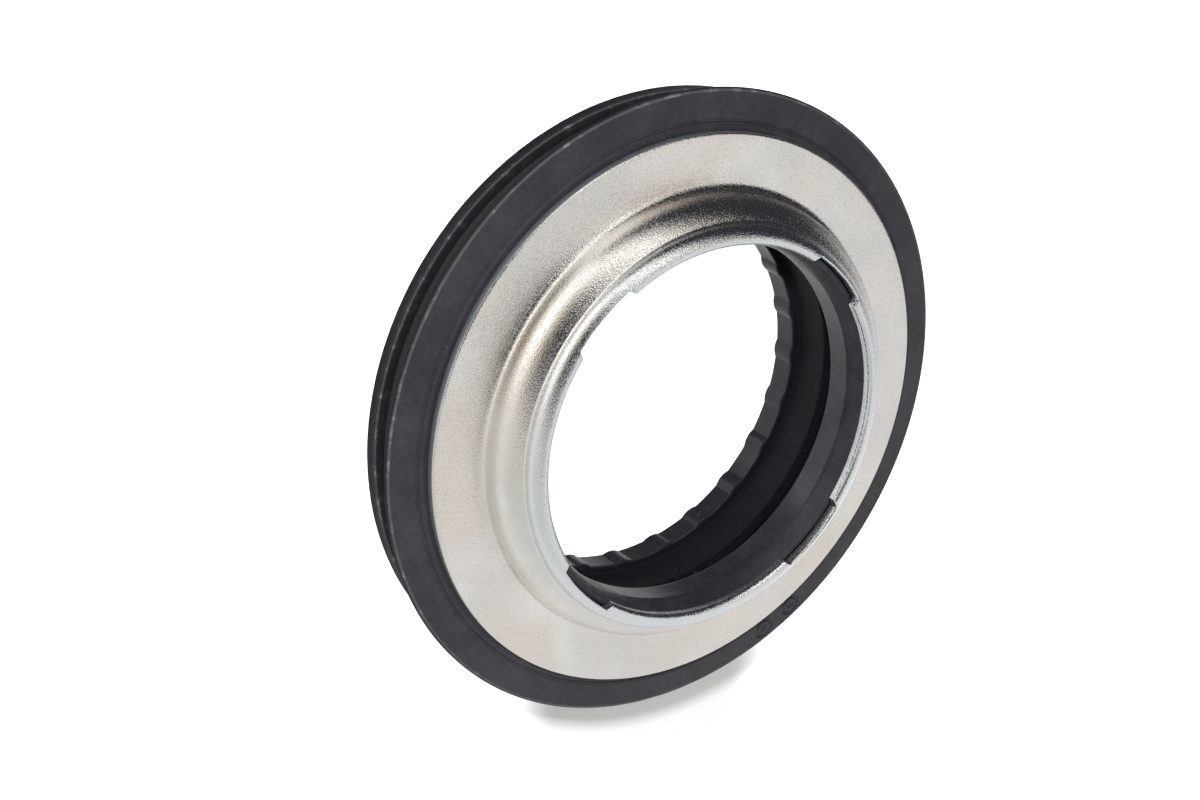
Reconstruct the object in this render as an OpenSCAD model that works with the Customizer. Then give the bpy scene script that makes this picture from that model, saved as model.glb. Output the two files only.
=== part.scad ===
// Strut mount bearing: a pressed steel spring seat on a ball bearing held in two plastic caps.
// The ring's axis is +Z. It lies on the upper cap's end face, at Z = 0, with the spring seat on top.
// Each round piece is a section in the (radius, height) plane, turned about the axis.

/* [Bearing] */
// Ball diameter
ball_d = 6; // [5.4:0.1:6.6]
// Number of balls
ball_count = 30; // [16:1:32]
// Radius of the circle on which the balls run
pitch_r = 47; // [46.5:0.1:47.8]
// Sheet thickness of the two races
race_t = 1.1; // [0.8:0.05:1.4]
// Angle by which a race wraps round the balls, to each side of its groove's middle
race_wrap = 60; // [50:1:64]
// Height by which the edges of a race stand clear of the cap round it
race_proud = 0.3; // [0.1:0.05:0.5]
// Height of the cage
cage_h = 2; // [1.4:0.1:2.4]
// Cage wall beside a ball pocket
cage_wall = 1.25; // [0.8:0.05:1.4]

/* [Spring seat] */
// Thickness of the pressed sheet
sheet_t = 1.8; // [1.4:0.1:2.2]
// Outer radius of the flange that carries the spring
seat_flange_r = 52.7; // [51:0.1:53.4]
// Radius of the bend between flange and neck, on its hollow side
flange_bend_r = 4.8; // [3.5:0.1:5.5]
// Slope of the neck
neck_angle = 58; // [54:1:64]
// Radius of the rolled crest, on its outer side
crest_bend_r = 4.3; // [3.8:0.1:4.8]
// Radial margin of the crest outside the lower cap's bore
crest_margin = 1.7; // [1.4:0.1:2]
// Height of the crest above the spring's face
crest_rise = 10.2; // [9:0.1:11]
// Distance that the lip reaches inwards past the top of the crest
lip_reach = 0.7; // [0.2:0.1:1]
// Number of notches in the lip
notch_count = 4; // [2:1:8]
// Angle that the root of one notch takes up
notch_angle = 21; // [10:1:30]
// Depth of the notches
notch_depth = 1.45; // [1:0.05:2.2]
// Width by which a notch opens out from its root to the lip's edge, on each side
notch_flare = 0.9; // [0.4:0.1:1.4]

/* [Lower cap] */
// Outer radius of the rim, the widest place on the part
lower_cap_r = 60; // [59:0.1:62]
// Thickness of the cap over the lower race
deck_t = 2.6; // [2:0.1:3.2]
// Height by which the sloping face drops from the deck to the rim
face_drop = 1.3; // [0.8:0.1:1.8]
// Width of the flat land round the spring seat
face_land = 0.9; // [0.5:0.1:1.4]
// Height of the step at the edge of that land
face_step = 0.2; // [0.1:0.05:0.4]
// Height of the rim's side
rim_side = 0.8; // [0.7:0.05:1.2]
// Height of the rim where it leaves the skirt
rim_root = 2.4; // [1.6:0.1:3]
// Chamfer on the rim's upper edge
rim_chamfer = 0.4; // [0.2:0.05:0.6]
// Radius of the bore through the sleeve
bore_r = 34.2; // [33.6:0.1:34.8]
// Length of the straight bore
bore_h = 4.8; // [4:0.1:5.4]
// Height of the sleeve's lower end above the deck
sleeve_lift = 1.6; // [1:0.1:2]
// Width of the lead-in above the bore
bore_lead_w = 1.2; // [0.8:0.1:1.5]
// Height of the lead-in above the bore
bore_lead_h = 3.2; // [2.6:0.1:3.6]
// Wall of the bore sleeve
bore_wall = 2.6; // [2:0.1:3]
// Width of the core groove behind the bore sleeve, at its top
core_w = 0.8; // [0.4:0.1:1.2]
// Depth by which the core groove stops below the top of the bore
core_stop = 1; // [0.6:0.1:1.6]
// Wall of the skirt outside the bearing
skirt_t = 1.6; // [1.2:0.1:2]
// Wall of the ring inside the bearing
inner_wall_t = 1.5; // [1.2:0.1:1.8]
// Radius of the circle on which the two mould marks lie
mark_pitch_r = 56.9; // [56.4:0.1:57.2]
// Outer diameter of a mould mark
mark_d = 4.2; // [3:0.1:4.4]
// Width of a mould mark's ring groove
mark_groove_w = 0.6; // [0.4:0.1:0.8]
// Depth of the mould marks
mark_depth = 0.35; // [0.2:0.05:0.5]
// Angle of the first mould mark round the axis
mark_angle = 72.2; // [0:0.1:360]
// Angle from the first mould mark to the second
mark_spread = 7; // [5:0.1:20]

/* [Upper cap] */
// Thickness of the cap under the upper race
base_t = 6; // [5.4:0.1:6.6]
// Width by which the outer flange stands out beyond the skirt
outer_flange_w = 2; // [1.2:0.1:2.6]
// Thickness of the outer flange
outer_flange_t = 2.8; // [2.2:0.1:3.4]
// Drop from the race's land to the outer flange
outer_flange_drop = 0.4; // [0.2:0.1:0.8]
// Wall of the upstand that closes the bearing on the outside
upstand_t = 1.4; // [1:0.1:1.8]
// Height of the upstand above the middle of the balls
upstand_rise = 1; // [0.4:0.1:1.4]
// Radius of the end face's outer edge
end_face_r = 50; // [48:0.5:51]
// Wall of the inner sleeve
sleeve_t = 2.3; // [1.8:0.1:2.6]
// Radial margin of the ribbed rim outside the bore
rim_margin = 1.7; // [1.4:0.1:2]
// Height of the ribbed rim
rim_h = 4.8; // [4:0.1:5.2]
// Number of ribs on the rim
rib_count = 24; // [12:1:30]
// Width of a rib where it leaves the rim
rib_w = 3.6; // [2.4:0.1:4.2]
// Height of a rib
rib_h = 0.5; // [0.3:0.05:1]
// Depth of the core pockets in the end face
pocket_depth = 3.4; // [2:0.1:3.8]
// Wall round the core pockets
pocket_wall = 3; // [2.4:0.1:3.6]
// Thickness of the webs between the core pockets
pocket_web_t = 1.8; // [1.2:0.1:2.4]

/* [Fits] */
// Play between a ball and a race
ball_play = 0.1; // [0.05:0.01:0.2]
// Play of a ball in its cage pocket
pocket_play = 0.15; // [0.1:0.01:0.25]
// Gap between a race and the cap that holds it
race_fit = 0.05; // [0.02:0.01:0.1]
// Gap beside the cage
cage_gap = 0.4; // [0.3:0.05:0.6]
// Gap between the skirt and the upstand
labyrinth_gap = 0.6; // [0.4:0.05:0.8]
// Gap between the upper cap's sleeve and the lower cap's inner wall
sleeve_gap = 0.8; // [0.7:0.05:0.9]
// Height of the snap beads that hold the caps together
bead_h = 0.55; // [0.5:0.05:0.6]
// Width of a snap bead
bead_w = 0.9; // [0.6:0.1:1.1]
// Height of the lower cap's snap bead above the end of its wall
bead_foot = 0.35; // [0.2:0.05:0.6]
// Axial play between the two snap beads
bead_play = 0.4; // [0.3:0.05:0.5]
// Gap under the bends of the spring seat
nest_gap = 0.2; // [0.1:0.05:0.3]
// Gap between a seal's lip and the face that it guards
seal_gap = 0.3; // [0.25:0.05:0.4]

/* [Seals] */
// Thickness of a seal where it sits on its wall
seal_t = 0.6; // [0.4:0.05:0.7]
// Width by which the outer seal's lip flares out
seal_flare = 0.4; // [0.3:0.05:0.6]
// Thickness of a seal's lip at its tip
seal_tip_t = 0.35; // [0.25:0.05:0.4]
// Height of the walls' ends above the faces that their seals guard
seal_room = 1.4; // [1.3:0.05:1.6]

/* [Hidden] */
$fn = 96;
function ball_name(i) = str("ball_", i < 10 ? "0" : "", i);

black_plastic = [0.13, 0.13, 0.14];
cage_plastic = [0.80, 0.78, 0.70];
zinc_steel = [0.80, 0.79, 0.76];
race_steel = [0.62, 0.63, 0.65];
ball_steel = [0.72, 0.73, 0.75];
seal_rubber = [0.08, 0.08, 0.09];
// Overrun of a cutter past the face that it cuts
over = 1;

// Heights, from the end face up to the crest
groove_r = ball_d / 2 + ball_play;
race_back_r = groove_r + race_t;
ball_z = base_t + race_back_r;
land_offset = race_back_r * cos(race_wrap) + race_proud;
upper_land_z = ball_z - land_offset;
lower_land_z = ball_z + land_offset;
deck_z = ball_z + race_back_r + deck_t;
seat_z = deck_z + sheet_t;
crest_z = seat_z + crest_rise;
outer_flange_z = upper_land_z - outer_flange_drop;
skirt_z = outer_flange_z + seal_room;
inner_wall_z = upper_land_z + seal_room;
lower_bead_z = inner_wall_z + bead_foot;
upper_bead_z = lower_bead_z + bead_w + bead_play;
sleeve_z = upper_bead_z + bead_w + bead_h;
bore_z = deck_z + sleeve_lift;
bore_top_z = bore_z + bore_h;
core_z = bore_top_z - core_stop;
face_z = deck_z - face_step;
rim_z = deck_z - face_drop;

// Radii, outwards from the balls
cage_half_w = ball_d / 2 + pocket_play + cage_wall;
upstand_r = pitch_r + cage_half_w + cage_gap;
skirt_r = upstand_r + upstand_t + labyrinth_gap;
skirt_outer_r = skirt_r + skirt_t;
outer_flange_r = skirt_outer_r + outer_flange_w;
face_r = seat_flange_r + face_land;

// Radii, inwards from the balls
inner_wall_r = pitch_r - cage_half_w - cage_gap - inner_wall_t;
sleeve_outer_r = inner_wall_r - sleeve_gap;
sleeve_r = sleeve_outer_r - sleeve_t;
core_r = bore_r + bore_wall;
rim_r = bore_r + rim_margin;
rib_tip_r = rim_r - rib_h;

// Spring seat: centres of its two bends, and the points where the neck meets them
crest_r = bore_r + crest_margin;
lip_r = crest_r - lip_reach;
crest_centre = [crest_r, crest_z - crest_bend_r];
neck_normal = [sin(neck_angle), cos(neck_angle)];
neck_drop = crest_centre[1] + crest_bend_r * neck_normal[1] - seat_z - flange_bend_r * (1 - neck_normal[1]);
neck_foot_r = crest_r + crest_bend_r * neck_normal[0] + neck_drop / tan(neck_angle);
bend_centre = [neck_foot_r + flange_bend_r * neck_normal[0], seat_z + flange_bend_r];

// Region below the surface that lies a depth under the spring seat's outer side
module under_seat(depth) {
    inner_r = crest_r - crest_bend_r - over;
    difference() {
        union() {
            polygon([
                [inner_r, 0],
                [seat_flange_r, 0],
                [seat_flange_r, seat_z - depth],
                [bend_centre[0], seat_z - depth],
                bend_centre - (flange_bend_r + depth) * neck_normal,
                crest_centre + (crest_bend_r - depth) * neck_normal,
                [crest_r, crest_z - depth],
                [inner_r, crest_z - depth]]);
            translate(crest_centre) circle(r = crest_bend_r - depth);
        }
        translate(bend_centre) circle(r = flange_bend_r + depth);
    }
}

function polar(radius, angle) = radius * [cos(angle), sin(angle)];
function flipped(point) = [point[0], -point[1]];

// Outline of one notch in the lip: its root is round, and its sides open out towards the lip's edge
module notch() {
    root_r = lip_r + notch_depth;
    half = notch_angle / 2;
    root = polar(root_r, half);
    mouth = polar(lip_r, half + notch_flare / lip_r * 180 / PI);
    run_out = (root - mouth) * over / notch_depth;
    intersection() {
        circle(r = root_r);
        polygon([
            [root_r / cos(half) + over, 0],
            root + run_out,
            mouth - run_out,
            flipped(mouth - run_out),
            flipped(root + run_out)]);
    }
}

// Section of a stamped race whose groove opens towards side: 1 is up and -1 is down
module race_section(side) {
    reach = 2 * race_back_r;
    translate([pitch_r, ball_z]) intersection() {
        difference() {
            circle(r = race_back_r);
            circle(r = groove_r);
        }
        polygon([
            [0, 0],
            reach * [-sin(race_wrap), -side * cos(race_wrap)],
            reach * [0, -2 * side],
            reach * [sin(race_wrap), -side * cos(race_wrap)]]);
    }
}

// Section of the groove in which a race sits
module race_seat() {
    translate([pitch_r, ball_z]) circle(r = race_back_r + race_fit);
}

module spring_seat() {
    color(zinc_steel) difference() {
        rotate_extrude() intersection() {
            difference() {
                under_seat(0);
                under_seat(sheet_t);
            }
            translate([lip_r, 0]) square([seat_flange_r, crest_z]);
        }
        for (i = [0 : notch_count - 1])
            rotate(i * 360 / notch_count) translate([0, 0, crest_centre[1]])
                linear_extrude(crest_bend_r + over) notch();
    }
}

// Groove that is cored out between the bore sleeve and the inner wall.
// Its sloping wall runs parallel to the spring seat, so it leaves a web of even thickness.
module core_groove() {
    corner = [core_r + core_w, core_z];
    depth = crest_bend_r + (crest_centre - corner) * neck_normal;
    intersection() {
        difference() {
            polygon([
                [core_r, lower_land_z],
                [core_r, core_z],
                corner,
                bend_centre - (flange_bend_r + depth) * neck_normal,
                [bend_centre[0], seat_z - depth],
                [lower_cap_r, seat_z - depth],
                [lower_cap_r, lower_land_z]]);
            translate(bend_centre) circle(r = flange_bend_r + depth);
        }
        square([inner_wall_r, crest_z]);
    }
}

module lower_cap_section() {
    nest_r = flange_bend_r + sheet_t;
    deck_r = bend_centre[0] - sqrt(pow(nest_r + nest_gap, 2) - pow(nest_r, 2));
    difference() {
        intersection() {
            polygon([
                [bore_r, bore_z],
                [core_r + core_w, bore_z],
                [inner_wall_r, lower_land_z],
                [inner_wall_r, lower_bead_z + bead_w],
                [inner_wall_r - bead_h, lower_bead_z + bead_w],
                [inner_wall_r - bead_h, lower_bead_z + bead_w / 2],
                [inner_wall_r, lower_bead_z],
                [inner_wall_r, inner_wall_z],
                [inner_wall_r + inner_wall_t, inner_wall_z],
                [inner_wall_r + inner_wall_t, lower_land_z],
                [skirt_r, lower_land_z],
                [skirt_r, skirt_z],
                [skirt_outer_r, skirt_z],
                [skirt_outer_r, rim_z - rim_root],
                [lower_cap_r, rim_z - rim_side],
                [lower_cap_r, rim_z - rim_chamfer],
                [lower_cap_r - rim_chamfer, rim_z],
                [face_r, face_z],
                [face_r, deck_z],
                [deck_r, deck_z],
                [deck_r, crest_z],
                [bore_r + bore_lead_w, bore_top_z + bore_lead_h],
                [bore_r, bore_top_z]]);
            union() {
                under_seat(sheet_t + nest_gap);
                translate([deck_r, 0]) square([lower_cap_r, deck_z]);
            }
        }
        race_seat();
        core_groove();
    }
}

// Cutter for one mould mark: a ring groove round a dimple, square to the cap's sloping face
module mould_mark() {
    slope = (face_z - rim_z) / (lower_cap_r - rim_chamfer - face_r);
    mark_z = face_z - slope * (mark_pitch_r - face_r);
    translate([mark_pitch_r, 0, mark_z]) rotate([0, atan(slope), 0]) {
        difference() {
            translate([0, 0, -mark_depth]) cylinder(d = mark_d, h = mark_depth + over);
            translate([0, 0, -mark_depth - over])
                cylinder(d = mark_d - 2 * mark_groove_w, h = mark_depth + 3 * over);
        }
        translate([0, 0, -mark_depth]) cylinder(d = mark_d / 3, h = mark_depth + over);
    }
}

module lower_cap() {
    color(black_plastic) difference() {
        rotate_extrude() lower_cap_section();
        for (i = [0, 1]) rotate(mark_angle + i * mark_spread) mould_mark();
    }
}

module upper_cap_section() {
    difference() {
        polygon([
            [rib_tip_r, 0],
            [end_face_r, 0],
            [skirt_r, outer_flange_z - outer_flange_t],
            [outer_flange_r, outer_flange_z - outer_flange_t],
            [outer_flange_r, outer_flange_z],
            [upstand_r + upstand_t, outer_flange_z],
            [upstand_r + upstand_t, ball_z + upstand_rise],
            [upstand_r, ball_z + upstand_rise],
            [upstand_r, upper_land_z],
            [sleeve_outer_r, upper_land_z],
            [sleeve_outer_r, upper_bead_z],
            [sleeve_outer_r + bead_h, upper_bead_z],
            [sleeve_outer_r + bead_h, upper_bead_z + bead_w],
            [sleeve_outer_r, sleeve_z],
            [sleeve_r, sleeve_z],
            [sleeve_r, rim_h],
            [rib_tip_r, rim_h]]);
        race_seat();
    }
}

// Cutter for the core pockets in the end face, with a web left in line with each rib
module core_pockets() {
    inner_r = rim_r + pocket_wall;
    translate([0, 0, -over]) difference() {
        cylinder(r = end_face_r - pocket_wall, h = pocket_depth + over);
        cylinder(r = inner_r, h = pocket_depth + over);
        for (i = [0 : rib_count - 1])
            rotate(i * 360 / rib_count) translate([inner_r - over, -pocket_web_t / 2, 0])
                cube([end_face_r, pocket_web_t, pocket_depth + over]);
    }
}

// Cutter for the rim's bore, which leaves the rounded ribs standing
module ribbed_bore() {
    rib_r = (pow(rib_w / 2, 2) + pow(rib_h, 2)) / (2 * rib_h);
    translate([0, 0, -over]) linear_extrude(rim_h + 2 * over) difference() {
        circle(r = rim_r);
        for (i = [0 : rib_count - 1]) rotate(i * 360 / rib_count) translate([rib_tip_r + rib_r, 0]) circle(r = rib_r);
    }
}

module upper_cap() {
    color(black_plastic) difference() {
        rotate_extrude() upper_cap_section();
        ribbed_bore();
        core_pockets();
    }
}

module upper_race() {
    color(race_steel) rotate_extrude() race_section(1);
}

module lower_race() {
    color(race_steel) rotate_extrude() race_section(-1);
}

module at_ball(i) {
    rotate((i - 1) * 360 / ball_count) translate([pitch_r, 0, ball_z]) children();
}

module ball_cage() {
    color(cage_plastic) difference() {
        translate([0, 0, ball_z - cage_h / 2]) difference() {
            cylinder(r = pitch_r + cage_half_w, h = cage_h);
            translate([0, 0, -over]) cylinder(r = pitch_r - cage_half_w, h = cage_h + 2 * over);
        }
        for (i = [1 : ball_count])
            at_ball(i) cylinder(r = ball_d / 2 + pocket_play, h = cage_h + over, center = true);
    }
}

module ball(i) {
    color(ball_steel) at_ball(i) sphere(d = ball_d);
}

module outer_seal() {
    tip_r = skirt_outer_r + seal_flare;
    tip_z = outer_flange_z + seal_gap;
    color(seal_rubber) rotate_extrude() polygon([
        [skirt_r, skirt_z],
        [skirt_r, skirt_z - seal_t],
        [skirt_outer_r, skirt_z - seal_t],
        [tip_r, tip_z],
        [tip_r, tip_z + seal_tip_t],
        [skirt_outer_r, skirt_z]]);
}

module inner_seal() {
    tip_r = sleeve_outer_r + seal_gap;
    tip_z = upper_land_z + seal_gap;
    color(seal_rubber) rotate_extrude() polygon([
        [inner_wall_r + inner_wall_t, inner_wall_z],
        [inner_wall_r, inner_wall_z],
        [tip_r, tip_z + seal_tip_t],
        [tip_r, tip_z],
        [inner_wall_r, inner_wall_z - seal_t],
        [inner_wall_r + inner_wall_t, inner_wall_z - seal_t]]);
}

upper_cap();
upper_race();
ball_cage();
lower_race();
lower_cap();
inner_seal();
outer_seal();
spring_seat();
for (i = [1 : ball_count])
    ball(i);
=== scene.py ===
"""Looks of a strut mount bearing: a zinc-plated spring seat on two black plastic bearing caps.

The ring lies on its upper cap with the plated side up. Each shown piece is an outline in the
(radius, height) plane that is carried round the ring's axis, with what changes round the ring,
such as notches, ribs and pockets, worked into the grid of points.
"""

import bpy
import numpy as np
from mathutils import Matrix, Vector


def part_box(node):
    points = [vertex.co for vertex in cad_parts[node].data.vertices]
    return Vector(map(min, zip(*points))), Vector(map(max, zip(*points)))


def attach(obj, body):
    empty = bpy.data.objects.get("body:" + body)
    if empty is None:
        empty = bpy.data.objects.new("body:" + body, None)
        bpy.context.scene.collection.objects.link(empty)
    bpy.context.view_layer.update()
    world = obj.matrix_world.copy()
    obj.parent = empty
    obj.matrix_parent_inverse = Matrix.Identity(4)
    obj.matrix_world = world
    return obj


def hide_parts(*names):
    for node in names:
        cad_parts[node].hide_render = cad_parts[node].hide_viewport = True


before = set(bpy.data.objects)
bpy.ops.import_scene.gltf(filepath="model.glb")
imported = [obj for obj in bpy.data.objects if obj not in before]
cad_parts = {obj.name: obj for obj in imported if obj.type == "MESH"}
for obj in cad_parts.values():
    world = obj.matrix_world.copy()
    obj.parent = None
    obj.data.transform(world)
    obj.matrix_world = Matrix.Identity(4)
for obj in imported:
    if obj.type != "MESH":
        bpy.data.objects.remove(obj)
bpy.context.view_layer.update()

MM = 0.001
RNG = np.random.default_rng(7)

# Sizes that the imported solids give
SEAT_LOW, SEAT_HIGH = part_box("spring_seat")
SKIRT_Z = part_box("lower_cap")[0].z
SLEEVE_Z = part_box("upper_cap")[1].z
INNER_WALL_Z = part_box("inner_seal")[1].z

# Spring seat
SHEET_T = 1.8 * MM
FLANGE_R = 52.7 * MM
FOOT_R = 1.3 * MM
WALL_TILT = np.radians(87)
SHOULDER_R = 6.0 * MM
SHOULDER_AXIS_R = 36.4 * MM
SHOULDER_RISE = 1.6 * MM
VALLEY_R = 0.6 * MM
CREST_BEND_R = 2.5 * MM
CREST_R = 36.1 * MM
CREST_Z = SEAT_HIGH.z
DECK_Z = SEAT_LOW.z
SEAT_Z = DECK_Z + SHEET_T
LIP_R = 35.2 * MM
NOTCHES = 4
NOTCH_ANGLE = np.radians(21)
NOTCH_DEPTH = 1.45 * MM
NOTCH_FLARE = 0.9 * MM
NOTCH_CORNER = np.radians(0.2)
LIP_ROLLOVER = 0.8 * MM
NOTCH_ROLLOVER = 0.35 * MM
LIP_WAVER = 0.03 * MM
LIP_HOLLOW = 0.05 * MM
EDGE_ROUND = 0.4 * MM
EDGE_CORNER_ROWS = 3
BURR_ROUND = 0.08 * MM
# Points on the neck's foot, wall, shoulder, valley and crest, for each side and for the cap under it
NECK_TOP_POINTS = (9, 7, 20, 9, 13)
NECK_UNDER_POINTS = (6, 3, 8, 5, 4)
NEST_POINTS = (6, 3, 7, 5, 4)
# Widths over which the finish changes at the foot and at the crest
NECK_BLEND = 1.2 * MM
CREST_BLEND = 1 * MM

# Bearing
PITCH_R = 47 * MM
RACE_BACK_R = 4.25 * MM
BALL_Z = 10.2 * MM
LAND_OFFSET = 2.4 * MM

# Lower cap
CAP_R = 60 * MM
FACE_R = 53.6 * MM
FACE_STEP = 0.2 * MM
FACE_GROOVE_W = 0.22 * MM
FACE_GROOVE_DEPTH = 0.28 * MM
FACE_GROOVES = np.array([54.6, 54.1]) * MM
RIM_Z = DECK_Z - 1.3 * MM
RIM_SIDE = 0.8 * MM
RIM_ROOT = 2.4 * MM
RIM_CHAMFER = 0.4 * MM
BORE_R = 34.2 * MM
BORE_Z = DECK_Z + 1.6 * MM
BORE_H = 4.8 * MM
BORE_LEAD = 1.2 * MM
BORE_WALL = 2.6 * MM
CORE_W = 0.8 * MM
CORE_STOP = 1 * MM
CORE_SLOPE = np.radians(58)
NEST_GAP = 0.2 * MM
SKIRT_R = 53.8 * MM
SKIRT_T = 1.6 * MM
INNER_WALL_R = 40.7 * MM
INNER_WALL_T = 1.5 * MM
BEAD_H = 0.55 * MM
BEAD_W = 0.9 * MM
BEAD_FOOT = 0.35 * MM
MARK_PITCH_R = 56.9 * MM
MARK_R = 2.1 * MM
MARK_GROOVE_W = 0.6 * MM
MARK_DEPTH = 0.35 * MM
MARK_SOFT = 0.12 * MM
MARK_ZONE = np.array([-2.2, 2.4]) * MM
MARK_ANGLES = np.radians([72.2, 79.2])
# Flash on the rim's corner: its width, which also bounds the highlight painted on it, and its waver
FLASH_W = 0.14 * MM
FLASH_WAVER = 0.06 * MM
LOWER_EDGE_R = 0.12 * MM
LOWER_SPACING = 2.4 * MM
FACE_SLACK = 0.1 * MM
SIDE_SLACK = 0.05 * MM
BORE_GLOSS_W = 0.2 * MM

# Upper cap
SLEEVE_R = 37.6 * MM
SLEEVE_OUTER_R = 39.9 * MM
RIM_R = 35.9 * MM
RIM_H = 4.8 * MM
RIBS = 24
RIB_W = 3.6 * MM
RIB_H = 0.5 * MM
END_FACE_R = 50 * MM
OUTER_FLANGE_R = 57.4 * MM
OUTER_FLANGE_Z = 7.4 * MM
OUTER_FLANGE_T = 2.8 * MM
UPSTAND_R = 51.8 * MM
UPSTAND_T = 1.4 * MM
UPSTAND_RISE = 1 * MM
POCKET_DEPTH = 3.4 * MM
POCKET_WALL = 3 * MM
POCKET_WEB_T = 1.8 * MM
POCKET_WEB_AT = 4 * MM
RIB_FADE = 0.6 * MM
UPPER_EDGE_R = 0.15 * MM
UPPER_SPACING = 2.2 * MM
UPPER_SLACK = 0.01 * MM
# Width of the pale line painted as a highlight along the outer flange's top edge
BRIM_HIGHLIGHT_W = 0.3 * MM

# Seals
SEAL_T = 0.6 * MM
SEAL_FLARE = 0.4 * MM
SEAL_GAP = 0.3 * MM
SEAL_TIP_T = 0.35 * MM
SEAL_EDGE_R = 0.1 * MM

# The photograph's camera, found from the ring's circles in the picture
PHOTO_W, PHOTO_H = 1200, 800
FOCAL_PX = 3000
RING_CENTRE_PX = (669.6, 406.4)
RING_CENTRE_Z = 15 * MM
CAMERA_DISTANCE = 9.076 * CAP_R
AXIS_TILT = np.radians(41.53)
AXIS_TURN = np.radians(31.86)
RING_CLOCK = np.radians(-9.7)

# Floor: half its side, its colour, the place of the shadow in the picture, the white added there
# and further away, and the distances from that place where the one ends and the other begins
FLOOR_HALF = 3.0
FLOOR_COLOUR = (0.95, 0.95, 0.95, 1.0)
FLOOR_SHADE_AT = (42 * MM, 57 * MM)
FLOOR_LIFT = (0.08, 0.90)
FLOOR_SHADE_SPAN = (21 * MM, 34 * MM)

# Room: its even colour, and sectors about the direction that the flat flange mirrors, in degrees:
# start and stop from the picture's up towards its left, softness, distances where a sector begins
# and ends, softness of those, colour
ROOM_BASE = (0.755, 0.75, 0.74)
FLANGE_MIRROR = (72, -43)
ROOM_SECTORS = [
    (-52, 34, 6, 20, 180, 12, (0.030, 0.031, 0.036)),
    (40, 59, 5, 14, 180, 6, (1.35, 1.31, 1.22)),
    (62, 108, 6, 84, 116, 6, (0.42, 0.39, 0.30)),
    (62, 108, 6, 20, 92, 5, (0.045, 0.05, 0.06)),
    (48, 116, 8, 116, 180, 5, (1.4, 1.4, 1.36)),
    (122, 170, 10, 26, 96, 12, (0.60, 0.62, 0.585)),
    (-104, -88, 6, 34, 180, 6, (1.1, 1.1, 1.1)),
]

# Lamps: name, degrees right of and above the line to the camera, distance, length, width,
# turn in degrees, radiance, and whether the ring mirrors it
LAMPS = [
    ("long_softbox", (30, 18), 0.60, 1.10, 0.20, 57, 0.3, True),
    ("top_softbox", (-3, 9), 0.60, 0.06, 0.06, 0, 300, False),
]


def unit(vector):
    """The vector divided by its length."""
    return np.asarray(vector, float) / np.linalg.norm(vector)


def camera_axes():
    """Right, up and towards-the-viewer directions of the picture, in the part's frame.

    In the picture the ring's axis leans AXIS_TILT away from the line of sight and points
    AXIS_TURN below the picture's right; the ring is turned by RING_CLOCK about its axis.
    """
    side = np.array([-np.sin(AXIS_TURN), np.cos(AXIS_TURN), 0.0])
    lean = np.array([np.cos(AXIS_TURN), np.sin(AXIS_TURN), 0.0])
    axis = np.sin(AXIS_TILT) * lean - np.cos(AXIS_TILT) * np.array([0.0, 0.0, 1.0])
    third = np.cross(axis, side)
    ring_x = np.cos(RING_CLOCK) * side + np.sin(RING_CLOCK) * third
    ring_y = np.cos(RING_CLOCK) * third - np.sin(RING_CLOCK) * side
    right, down, away = np.stack([ring_x, ring_y, axis], 1)
    return right, -down, -away


RIGHT, UP, TOWARDS = camera_axes()


def seen_at(across, above):
    """Direction that lies so many degrees to the right of and above the line to the camera."""
    turn = np.hypot(across, above)
    sideways = (across * RIGHT + above * UP) / turn
    return np.cos(np.radians(turn)) * TOWARDS + np.sin(np.radians(turn)) * sideways


# Outlines in the (radius, height) plane

def arc(centre, radius, start, stop, count):
    """Points of a circle round a centre, from one angle to another."""
    angle = np.linspace(start, stop, count)
    return np.stack([centre[0] + radius * np.cos(angle), centre[1] + radius * np.sin(angle)], 1)


def rounded(corners, radius, steps=4):
    """Closed outline whose corners are arcs: each arc touches both sides of its corner."""
    corner = np.asarray(corners, float)
    before = np.roll(corner, 1, 0) - corner
    after = np.roll(corner, -1, 0) - corner
    reach = 0.45 * np.minimum(np.linalg.norm(before, axis=1), np.linalg.norm(after, axis=1))
    before /= np.linalg.norm(before, axis=1)[:, None]
    after /= np.linalg.norm(after, axis=1)[:, None]
    half = 0.5 * np.arccos(np.clip((before * after).sum(1), -1, 1))
    length = np.minimum(radius / np.tan(half), reach)
    size = length * np.tan(half)
    inward = before + after
    inward /= np.maximum(np.linalg.norm(inward, axis=1), 1e-12)[:, None]
    centre = corner + inward * (size / np.sin(half))[:, None]
    first = corner + before * length[:, None] - centre
    last = corner + after * length[:, None] - centre
    share = np.linspace(0, 1, steps)[None, :, None]
    points = first[:, None] * (1 - share) + last[:, None] * share
    points *= (size[:, None] / np.linalg.norm(points, axis=2))[..., None]
    return (centre[:, None] + points).reshape(-1, 2)


def spaced(outline, gap, hold=0.25 * MM):
    """Outline with points added on its long sides: one near each end, the rest evenly spread."""
    pieces = []
    for start, stop in zip(outline, np.roll(outline, -1, 0)):
        length = np.linalg.norm(stop - start)
        share = np.array([0.0])
        if length > 4 * hold:
            count = int(np.ceil(length / gap)) + 1
            share = np.r_[0.0, np.linspace(hold / length, 1 - hold / length, count)]
        pieces.append(start + (stop - start) * share[:, None])
    return np.concatenate(pieces)


# Meshes

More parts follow.
